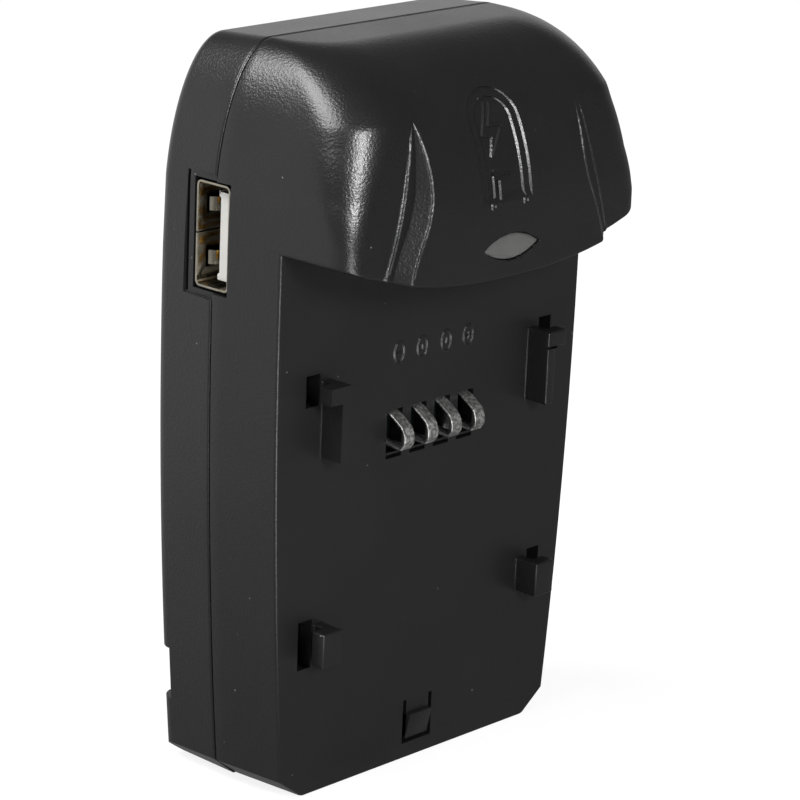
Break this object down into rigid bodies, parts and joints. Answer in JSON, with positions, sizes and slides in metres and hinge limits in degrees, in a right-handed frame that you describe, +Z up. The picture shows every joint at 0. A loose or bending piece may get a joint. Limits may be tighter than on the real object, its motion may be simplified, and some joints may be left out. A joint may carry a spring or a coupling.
{
  "type": "camera battery charger",
  "caption": "Compact plug-in charger for a camera battery, with a sliding battery face, sprung contacts, a hooded top, a side USB outlet and folding mains blades.",
  "frame": {"origin": "bottom centre of the charger: on the foot, in the middle of its width and of its depth", "axes": "+Z up along the battery face, -Y out of the battery face towards the battery, +X to the right when looking at the battery face"},
  "size_m": [0.056, 0.0336, 0.0936],
  "materials": {
    "housing": "fine spark-eroded grain",
    "lens": "frosted, translucent",
    "led_body": "satin",
    "board": "solder mask, satin",
    "usb_steel": "plated sheet",
    "white_resin": "satin",
    "gold": "gold flash",
    "dark_resin": "satin",
    "contact_metal": "dark nickel, worn",
    "ferrite": "sintered, matt",
    "coil": "taped copper wire",
    "can": "sleeved",
    "epoxy": "moulded, matt",
    "fuse_body": "satin",
    "plug_brass": "nickel plated",
    "spring_bronze": "rolled strip",
    "spring_steel": "zinc plated"
  },
  "bodies": {
    "charger": {"front_housing": "housing", "rear_housing": "housing", "led_lens": "lens", "status_led": "led_body", "main_board": "board", "usb_shell": "usb_steel", "usb_insulator": "white_resin", "usb_pins": "gold", "contact_block": "dark_resin", "transformer_core": "ferrite", "transformer_winding": "coil", "line_capacitor": "can", "output_capacitor": "can", "bridge_rectifier": "epoxy", "control_chip": "epoxy", "choke": "coil", "fuse": "fuse_body", "contact_carrier": "dark_resin", "line_contact_left": "spring_bronze", "line_contact_right": "spring_bronze", "detent_spring": "spring_steel", "screw_upper_left": "spring_steel", "screw_upper_right": "spring_steel", "screw_lower_left": "spring_steel", "screw_lower_right": "spring_steel"},
    "plug": {"plug_carrier": "dark_resin", "blade_left": "plug_brass", "blade_right": "plug_brass"},
    "contact_1": {"battery_contact_1": "contact_metal"},
    "contact_2": {"battery_contact_2": "contact_metal"},
    "contact_3": {"battery_contact_3": "contact_metal"},
    "contact_4": {"battery_contact_4": "contact_metal"}
  },
  "joints": [
    {"name": "plug_fold", "type": "hinge", "parent": "charger", "child": "plug", "pos_m": [0, 0.0126, 0.0345], "axis": [1, 0, 0], "range_deg": [0, 90]},
    {"name": "contact_1_press", "type": "hinge", "parent": "charger", "child": "contact_1", "pos_m": [-0.00643, -0.00042, 0.0565], "axis": [1, 0, 0], "range_deg": [0, 6.5], "stiffness_Nm_per_rad": 0.02, "springref_deg": -5.73},
    {"name": "contact_2_press", "type": "hinge", "parent": "charger", "child": "contact_2", "pos_m": [-0.00215, -0.00042, 0.0565], "axis": [1, 0, 0], "range_deg": [0, 6.5], "stiffness_Nm_per_rad": 0.02, "springref_deg": -5.73},
    {"name": "contact_3_press", "type": "hinge", "parent": "charger", "child": "contact_3", "pos_m": [0.00215, -0.00042, 0.0565], "axis": [1, 0, 0], "range_deg": [0, 6.5], "stiffness_Nm_per_rad": 0.02, "springref_deg": -5.73},
    {"name": "contact_4_press", "type": "hinge", "parent": "charger", "child": "contact_4", "pos_m": [0.00643, -0.00042, 0.0565], "axis": [1, 0, 0], "range_deg": [0, 6.5], "stiffness_Nm_per_rad": 0.02, "springref_deg": -5.73}
  ]
}
